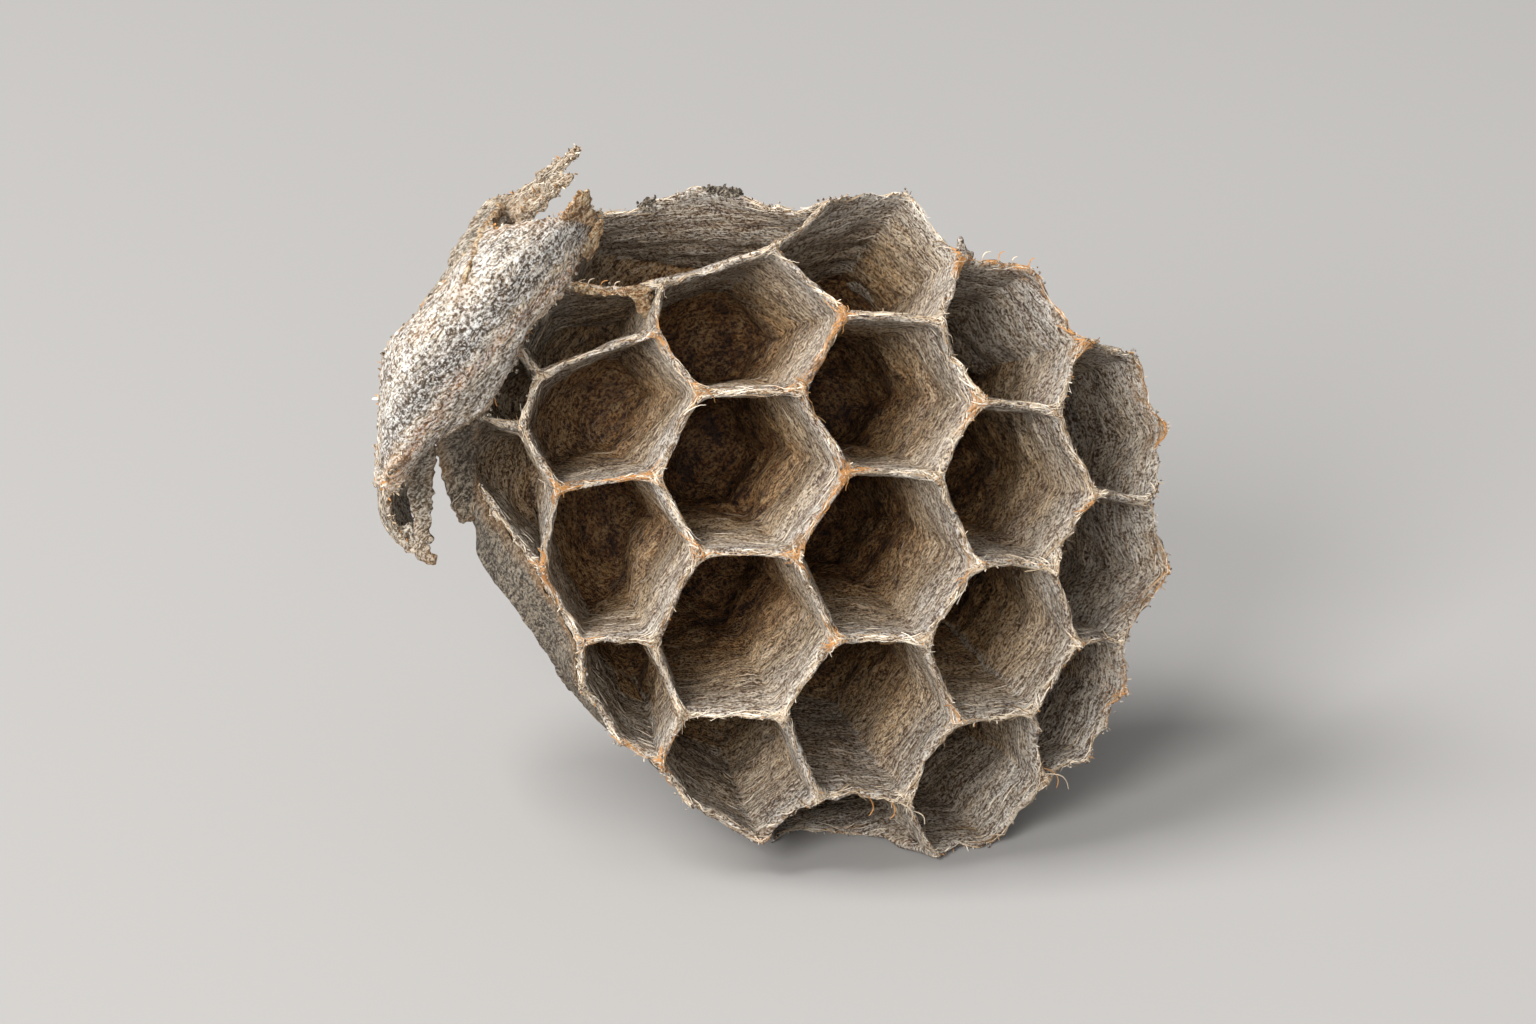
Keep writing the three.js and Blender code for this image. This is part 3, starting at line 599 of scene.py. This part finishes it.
def lean_cells(piece):
    """Lean the cells up and sideways as they go down, so that they run side by side more than they narrow.
    The comb's outer skin stays where it is. Returns which points are on that skin."""
    points, normals = points_of(piece), normals_of(piece)
    toward = points - np.array(CELLS_MEET)
    toward /= np.linalg.norm(toward, axis=1)[:, None]
    axis = np.array((DOME_MIDDLE - CELLS_MEET).normalized())
    right, up = np.array(FACE_RIGHT), np.array(FACE_UP)

    # How far inside the skin a point is. The skin is where the comb is widest on each side of its axis.
    angle = np.arccos(np.clip(toward @ axis, -1, 1))
    turn = np.arctan2((toward - axis) @ up, (toward - axis) @ right)
    turns = np.linspace(-math.pi, math.pi, 49)
    widest = [angle[np.cos(turn - middle) > math.cos(0.16)].max() for middle in turns]
    inside = np.clip(((np.interp(turn, turns, widest) - angle) * MOUTHS_AWAY - 1.2) / 4.5, 0, 1)

    # The lean in mm: up, and sideways by how far across the face a cell lies. It is in full 11 mm under the
    # dome, and none at the skin.
    out = points - np.array(DOME_MIDDLE)
    depth = (DOME_RADIUS - np.linalg.norm(out, axis=1)) / MM
    mouth = (np.array(CELLS_MEET) + toward * MOUTHS_AWAY * MM) @ right / MM
    sideways = np.clip(0.16 * mouth - 0.6, -1.6, 1.6)
    share = np.clip(depth / 11, 0, 1) * inside
    push = sideways[:, None] * right + 1.8 * up
    place_points(piece, points + push * share[:, None] * MM)
    faces_back = (normals * out).sum(axis=1) < -0.25 * DOME_RADIUS
    return faces_back | ((inside < 0.12) & ((normals * (toward - axis)).sum(axis=1) > 0))


def rough_comb(piece, skin):
    """Paper walls that wave and bulge, with layers that stand out, wool down in the cells, and worn rims. The
    skin is weathered grey all over, as the walls are near their rims. Returns which points are on the rims,
    and for every point how far below a rim it is, how deep its paper looks and how ochre it is."""
    points, normals = points_of(piece), normals_of(piece)
    rim = rim_points(points, normals)
    tree = tree_of(points[rim])
    below = np.array([tree.find(point)[2] for point in points]) / MM
    patches = np.array(OCHRE_PATCHES)
    apart = np.linalg.norm(points[:, None, :] / MM - patches[None, :, :3], axis=2)
    ochre = np.clip(1.3 * (1 - apart / patches[:, 3]), 0, 1).max(axis=1)
    worn_band, bow_band = 1.2, 3.0
    moved = points.copy()
    for i, (point, normal) in enumerate(zip(points, normals)):
        out = point - np.array(DOME_MIDDLE)
        reach = np.linalg.norm(out)
        out /= reach
        depth = (DOME_RADIUS - reach) / MM
        deep = min(1.0, below[i] / 7)
        layer = noise.noise(Vector((out[0] * 7, out[2] * 7, depth * 1.15)))
        moved[i] += normal * MM * (0.06 + 0.28 * deep) * layer * min(1.0, below[i] / 1.5)
        moved[i] += np.array(drift(point, 2.4, 1)) * MM * 0.20
        moved[i] += np.array(drift(point, 0.9, 2)) * MM * (0.03 + 0.17 * deep)
        if below[i] < worn_band:
            worn = 0.32 * uneven(point, 0.9, 3) + 0.22 * uneven(point, 0.4, 4)
            moved[i] += out * MM * worn * (1 - below[i] / worn_band)
        for first, second, rise in BOWED_RIMS:
            run = second - first
            share = min(1.0, max(0.0, (Vector(point) - first).dot(run) / run.length_squared))
            beside = (Vector(point) - first.lerp(second, share)).length / MM
            if beside < bow_band:
                moved[i] += (np.array(FACE_UP) * MM * rise * math.sin(math.pi * share)
                             * (1 - beside / bow_band) ** 2)
    place_points(piece, moved)
    depths = np.where(skin, 0.35 * below, below)
    attribute(piece, "below_rim", depths)
    attribute(piece, "ochre", ochre)
    return rim, below, depths, ochre


# --- strands, crumbs and scraps ----------------------------------------------------------------------

def strand_piece(name, strands, paper):
    """One mesh of thin three-sided strands that taper at both ends. Each strand is its route, its radius in
    mm, its shade and how deep it lies. They are made straight from their routes, because thousands of them
    follow the paper's own surface."""
    verts, faces, shades, depths = [], [], [], []
    for route, radius, shade, depth in strands:
        start, count = len(verts), len(route)
        for i, point in enumerate(route):
            ahead = route[min(i + 1, count - 1)] - route[max(i - 1, 0)]
            side = ahead.cross(Vector((0.31, 0.22, 0.92))).normalized()
            up = ahead.cross(side).normalized()
            width = radius * MM * max(0.2, math.sin(math.pi * (i + 0.6) / (count + 0.2)) ** 0.5)
            verts += [point + width * (math.cos(turn) * side + math.sin(turn) * up)
                      for turn in (0.5, 2.6, 4.7)]
        for ring in range(start, start + 3 * (count - 1), 3):
            faces += [(ring + k, ring + (k + 1) % 3, ring + 3 + (k + 1) % 3, ring + 3 + k) for k in range(3)]
        faces += [(start + 2, start + 1, start), (len(verts) - 3, len(verts) - 2, len(verts) - 1)]
        shades += [shade] * (3 * count)
        depths += [depth] * (3 * count)
    piece = new_piece(name, verts, faces)
    attribute(piece, "shade", shades)
    attribute(piece, "below_rim", depths)
    finish_piece(piece, paper)


def lie_along(ground, starts, heading, count, length, radius, loose, tints, seed, depths=None, ochre=None):
    """Strands that lie on a piece of paper and run the way that heading gives, some with a loose end. Length
    and radius are ranges in mm, and loose is the share of the strands with a loose end."""
    chance = random.Random(seed)
    surface = BVHTree.FromObject(ground, bpy.context.evaluated_depsgraph_get())
    points, normals = points_of(ground), normals_of(ground)
    strands = []
    for _ in range(count):
        index = starts[chance.randrange(len(starts))]
        point, normal = Vector(points[index]), Vector(normals[index])
        direction = heading(index, point, normal, chance)
        if direction is None or direction.length < 1e-9:
            continue
        direction = direction.normalized() * chance.choice((-1, 1))
        steps = 6
        stride = chance.uniform(*length) * MM / steps
        away = chance.random() < loose
        bend = chance.uniform(-0.12, 0.12)
        route = []
        for step in range(steps):
            close, close_normal, _, distance = surface.find_nearest(point)
            if close is None or distance > 0.5 * MM:
                break
            rise = 0.004 + (0.22 * (step / steps) ** 2 * chance.uniform(0.5, 1.5) if away else 0)
            route.append(close + close_normal * rise * MM)
            side = close_normal.cross(direction)
            direction = direction + side * (bend + chance.uniform(-0.1, 0.1))
            direction = (direction - close_normal * direction.dot(close_normal)).normalized()
            point = close + direction * stride
        if len(route) > 3:
            shade = chance.choice(tints) + chance.uniform(-0.05, 0.03)
            if ochre is not None and chance.random() < ochre[index]:
                shade = 0.95
            strands.append((route, chance.uniform(*radius), shade, 0.0 if depths is None else depths[index]))
    return strands


def stand_up(places, outwards, count, length, radius, tints, seed):
    """Short broken fibres that stand out of a torn edge or a rim. Length and radius are ranges in mm."""
    chance = random.Random(seed)
    strands = []
    for _ in range(count):
        index = chance.randrange(len(places))
        outward = Vector(outwards[index])
        lean = Vector([chance.uniform(-1, 1) for _ in range(3)])
        step = (outward + 0.8 * lean).normalized() * chance.uniform(*length) * MM / 3
        curl = Vector([chance.uniform(-1, 1) for _ in range(3)]) * step.length * 0.35
        base = Vector(places[index]) - outward * 0.08 * MM
        route = [base + step * i + curl * i * i / 3 for i in range(4)]
        strands.append((route, chance.uniform(*radius), chance.choice(tints) + chance.uniform(-0.05, 0.03),
                        0.0))
    return strands


def crumbs(name, places, count, size, paper, seed):
    """Crumbs of pulp stuck along an edge: one small lump, copied at many sizes and turns into one mesh. Size
    is a range of radii in mm."""
    chance = random.Random(seed)
    bpy.ops.object.select_all(action="DESELECT")
    bpy.ops.mesh.primitive_ico_sphere_add(subdivisions=1, radius=1.0)
    lump = bpy.context.object
    corners = points_of(lump)
    sides = np.array([face.vertices for face in lump.data.polygons])
    bpy.data.objects.remove(lump)
    verts, faces = [], []
    for i in range(count):
        scale = np.array([chance.uniform(*size) for _ in range(3)])
        turn = Vector([chance.uniform(-1, 1) for _ in range(3)]).to_track_quat("Z", "Y").to_matrix()
        jitter = np.array([[chance.uniform(0.75, 1.25)] for _ in corners])
        place = np.array(places[chance.randrange(len(places))]) + np.array(
            [chance.gauss(0, 0.08) * MM for _ in range(3)])
        verts.append((corners * jitter * scale) @ np.array(turn).T * MM + place)
        faces.append(sides + i * len(corners))
    finish_piece(new_piece(name, np.concatenate(verts).tolist(), np.concatenate(faces).tolist()), paper)


def scrap(name, rows, thick, paper, seed):
    """A small torn scrap: a grid pulled into place, given thickness, made finer and torn at its edges."""
    bpy.ops.object.select_all(action="DESELECT")
    bpy.ops.mesh.primitive_grid_add(x_subdivisions=len(rows[0]) - 1, y_subdivisions=len(rows) - 1, size=MM)
    piece = bpy.context.object
    piece.name = piece.data.name = name
    place_points(piece, np.array(rows, dtype=float).reshape(-1, 3) * MM)
    edges = torn_edges(piece)
    thickness = piece.modifiers.new("thickness", "SOLIDIFY")
    thickness.thickness, thickness.offset = thick * MM, 0
    bpy.ops.object.modifier_apply(modifier=thickness.name)
    refine(piece, 3)
    roughen(piece, edges, seed, tooth=0.8, wrinkle=1.1)
    finish_piece(piece, paper)


# --- building the nest -------------------------------------------------------------------------------

def settle_on(piece, edges, comb):
    """Curl a sheet's edges down on the comb where they come close to it, and return the edges' new places."""
    surface = BVHTree.FromObject(comb, bpy.context.evaluated_depsgraph_get())
    tree = tree_of(edges[0])

    def settled(point):
        """The point's new place: the closer to a torn edge, the closer to the comb."""
        from_edge = tree.find(point)[2] / (3.0 * MM)
        close, _, _, gap = surface.find_nearest(point)
        if from_edge > 1 or close is None or gap > 2.2 * MM:
            return point
        return point.lerp(close, 0.95 * (1 - from_edge) ** 0.7)

    place_points(piece, [settled(Vector(point)) for point in points_of(piece)])
    return [settled(Vector(place)) for place in edges[0]], edges[1]


def nest_papers():
    """All the papers of the nest, by name."""
    return {
        "cell": cell_paper(),
        "striped": envelope_paper("wood_pulp_striped_paper", [
            # From -24.8 to -22.5 mm across, at the far left of the sheet, the stripes are darker partly as
            # the paper's own colour and partly as painted shade
            (-24.8, "#8D816E"), (-24.1, "#A79C8B"), (-23.1, "#CBC4B9"), (-22.5, "#E6E3DD"),
            (-22.05, "#B9B4AD"), (-21.7, "#5F5A55"), (-21.2, "#77716A"), (-20.95, "#EFE6D6"),
            (-20.55, "#C98F52"), (-20.25, "#EDE3D3"), (-19.8, "#B9AFA1"), (-19.3, "#CFC2AD"),
        ], "#4A3D30", "#FAF8F4", 0.75),
        "weathered": envelope_paper("wood_pulp_weathered_paper", [
            (-26.0, "#5F574C"), (-22.0, "#736A5D"), (-18.0, "#575047"), (-12.0, "#6C6254"),
        ], "#261F18", "#A59A89", 0.55),
        "brown": envelope_paper("wood_pulp_brown_paper", [
            (-26.0, "#9A9182"), (-23.0, "#A79C8A"), (-20.0, "#857B6B"), (-16.0, "#948A7A"),
        ], "#33291F", "#D2CABC", 0.35),
        "ochre": ochre_pulp(),
        "strand": pulp_strand(),
    }


def make_comb(papers):
    """The comb, and what rough_comb says of its points."""
    comb = paper_from("comb", "comb_paper", cell_walls=True)
    refine(comb, 2)
    skin = lean_cells(comb)
    facts = rough_comb(comb, skin)
    finish_piece(comb, papers["cell"], "comb")
    return comb, facts


def make_sheets(papers, comb):
    """The sheets of the envelope and their torn edges, each by its name."""
    sheets, edges = {}, {}
    for node, (name, paper, seed) in SHEETS.items():
        sheet = paper_from(node, name)
        edges[name] = torn_edges(sheet)
        refine(sheet, 4)
        if name == "torn_lower_sheet":
            edges[name] = settle_on(sheet, edges[name], comb)
        roughen(sheet, edges[name], seed)
        finish_piece(sheet, papers[paper], node)
        sheets[name] = sheet
    return sheets, edges


def make_scraps(papers):
    """All the small scraps. The web between two of them is thinner."""
    for i, (name, rows) in enumerate(SCRAPS.items()):
        paper = papers[SCRAP_PAPERS.get(name, "ochre")]
        scrap(name, rows, thick=0.2 if name == "web" else 0.28, paper=paper, seed=30 + i)


def comb_fibres(comb, facts, rim_tree, paper):
    """Fibres that lie on the comb's rims and walls, and frays and loose ends that stand out of its rims."""
    rim, below, depths, ochre = facts
    points, normals = points_of(comb), normals_of(comb)

    def along_rim(index, point, normal, chance):
        """Towards another point of the same rim."""
        near = [place for place, _, distance in rim_tree.find_range(point, 1.0 * MM) if distance > 0.55 * MM]
        return near[chance.randrange(len(near))] - point if near else None

    def along_layer(index, point, normal, chance):
        """Round the cell, as the layers of pulp lie."""
        return normal.cross(point - DOME_MIDDLE)

    walls = [i for i, point in enumerate(points) if 0.5 < below[i] < 9
             and abs(normals[i] @ (point - DOME_MIDDLE)) < 0.6 * DOME_RADIUS]
    on_rims = lie_along(
        comb, rim, along_rim, count=5000, length=(0.4, 1.5), radius=(0.012, 0.030), loose=0.07,
        tints=(0.2, 0.4, 0.5, 0.6, 0.7, 0.8), seed=51, depths=depths, ochre=ochre)
    on_walls = lie_along(
        comb, walls, along_layer, count=5000, length=(0.3, 1.3), radius=(0.008, 0.020), loose=0.03,
        tints=(0.1, 0.3, 0.5, 0.65, 0.75, 0.8), seed=52, depths=depths, ochre=ochre)
    outward = [(Vector(point) - DOME_MIDDLE).normalized() for point in points[rim]]
    frays = stand_up(points[rim], outward, count=2800, length=(0.06, 0.26), radius=(0.012, 0.034),
                     tints=(0.2, 0.4, 0.6, 0.7, 0.95), seed=53)
    loose_ends = []
    for i, (start, reach) in enumerate(LOOSE_ENDS):
        start, reach = Vector(start) * MM, Vector(reach) * MM
        root = rim_tree.find(start)[0] if i < RIM_ENDS else start
        curl = reach.cross(Vector((0.4, 1, -0.3))).normalized() * reach.length * 0.35
        route = [root + reach * (k / 7) + curl * math.sin(2.6 * k / 7) for k in range(8)]
        loose_ends.append((route, 0.03, 0.95 if i % 2 else 0.6, 0.0))
    for name, strands in (("rim_fibres", on_rims), ("wall_fibres", on_walls), ("rim_frays", frays),
                          ("loose_ends", loose_ends)):
        strand_piece(name, strands, paper)


def sheet_fibres(sheets, edges, paper):
    """Fibres that lie on each sheet, and short ones that stand out of its torn edges."""
    def along_stripe(index, point, normal, chance):
        """Down the sheet with its stripes, and askew here and there."""
        lean = Vector([chance.uniform(-1, 1) for _ in range(3)]) * 0.25 + Vector(drift(point, 2.5, 9)) * 0.8
        return ALONG_STRIPES + lean

    for i, (name, sheet) in enumerate(sheets.items()):
        tints = (0.0, 0.1, 0.3, 0.45) if name == "torn_lower_sheet" else (0.2, 0.4, 0.5, 0.6, 0.7, 0.8)
        strands = lie_along(
            sheet, range(len(sheet.data.vertices)), along_stripe, count=1000, length=(0.25, 1.0),
            radius=(0.007, 0.015), loose=0.02, tints=tints, seed=60 + i)
        strands += stand_up(*edges[name], count=250, length=(0.08, 0.3), radius=(0.02, 0.05),
                            tints=(0.2, 0.5, 0.7, 0.95), seed=70 + i)
        if name == "torn_front_sheet":
            strands += stand_up(*edges[name], count=130, length=(0.12, 0.3), radius=(0.05, 0.085),
                                tints=(0.5, 0.7, 0.92), seed=90)
        fibres = name.replace("torn_", "").replace("sheet", "fibres")
        strand_piece(fibres, strands, paper)


def all_crumbs(papers, rim_places, rim_tree, sheet_edge):
    """Crumbs on the comb's outer rims and the front sheet's torn edge, and dark ones on the first bow."""
    face_middle = Vector((2.5, -5.5, 14.5)) * MM
    outer = [place for place in rim_places if (Vector(place) - face_middle).length > 12 * MM]
    crumbs("rim_crumbs", outer, 700, (0.03, 0.09), papers["cell"], 81)
    crumbs("sheet_crumbs", sheet_edge, 240, (0.04, 0.11), papers["brown"], 82)
    first, second, _ = BOWED_RIMS[0]
    bowed = [rim_tree.find(first.lerp(second, i / 60) + FACE_UP * MM)[0] for i in range(8, 54)]
    bowed = [bowed[i].lerp(bowed[i + 6], part / 5) for i in range(len(bowed) - 6) for part in range(5)]
    bowed = [place for place in bowed if uneven(place, 1.4, 84) > -0.1]
    crumbs("dark_crumbs", bowed, 420, (0.04, 0.12), papers["weathered"], 83)


def build_nest():
    """The comb, the sheets and the scraps, and then the fibres and crumbs on them."""
    papers = nest_papers()
    comb, facts = make_comb(papers)
    sheets, edges = make_sheets(papers, comb)
    make_scraps(papers)
    rim_places = points_of(comb)[facts[0]]
    rim_tree = tree_of(rim_places)
    comb_fibres(comb, facts, rim_tree, papers["strand"])
    sheet_fibres(sheets, edges, papers["strand"])
    all_crumbs(papers, rim_places, rim_tree, edges["torn_front_sheet"][0])


# --- floor, light and camera -------------------------------------------------------------------------

def floor():
    """A plain pale surface."""
    bpy.ops.object.select_all(action="DESELECT")
    bpy.ops.mesh.primitive_plane_add(size=3.0, location=(0, 0, 0))
    surface = bpy.context.object
    surface.name = "pale_floor"
    material = bpy.data.materials.new("matt_pale_card")
    material.use_nodes = True
    shader = material.node_tree.nodes["Principled BSDF"]
    shader.inputs["Base Color"].default_value = colour("#9C9B9A")
    shader.inputs["Roughness"].default_value = 0.85
    shader.inputs["Specular IOR Level"].default_value = 0.2
    surface.data.materials.append(material)


def area_light(name, place, size, power, tint):
    """A square light that faces the middle of the nest."""
    nest_middle = Vector((0, 0, 0.015))
    bpy.ops.object.light_add(type="AREA", location=place)
    light = bpy.context.object
    light.name = name
    light.data.size = size
    light.data.energy = power
    light.data.color = colour(tint)[:3]
    light.rotation_euler = (nest_middle - Vector(place)).to_track_quat("-Z", "Y").to_euler()


def studio():
    """A broad skylight above on the left, lights from the front left and the front, and an even pale room."""
    area_light("skylight", (-0.48, 0.05, 0.68), size=0.40, power=8.6, tint="#FFFDFB")
    area_light("front_left_fill", (-0.68, -0.70, 0.50), size=0.42, power=14.2, tint="#FFFDFA")
    area_light("front_fill", (-0.24, -0.74, 0.32), size=0.30, power=1.8, tint="#FFFDFB")
    world = bpy.data.worlds.new("even_room")
    world.use_nodes = True
    room = world.node_tree.nodes["Background"]
    room.inputs["Color"].default_value = colour("#EAE8E6")
    room.inputs["Strength"].default_value = 0.44
    bpy.context.scene.world = world


def camera():
    """Looks from the left and a little above, through a long lens."""
    azimuth, elevation, distance = math.radians(-20.5), math.radians(21), 0.26
    back = Vector((math.sin(azimuth) * math.cos(elevation), -math.cos(azimuth) * math.cos(elevation),
                   math.sin(elevation)))
    mouths_middle = Vector((3.232, -9.733, 16.009)) * MM
    eye = mouths_middle + back * distance
    aim = Vector((-2.544, -7.363, 16.524)) * MM
    bpy.ops.object.camera_add(location=eye)
    view = bpy.context.object
    view.rotation_euler = (aim - eye).to_track_quat("-Z", "Y").to_euler()
    view.data.sensor_width = 36
    view.data.lens = 143.6
    bpy.context.scene.camera = view


build_nest()
floor()
studio()
camera()
bpy.context.scene.view_settings.view_transform = "Standard"
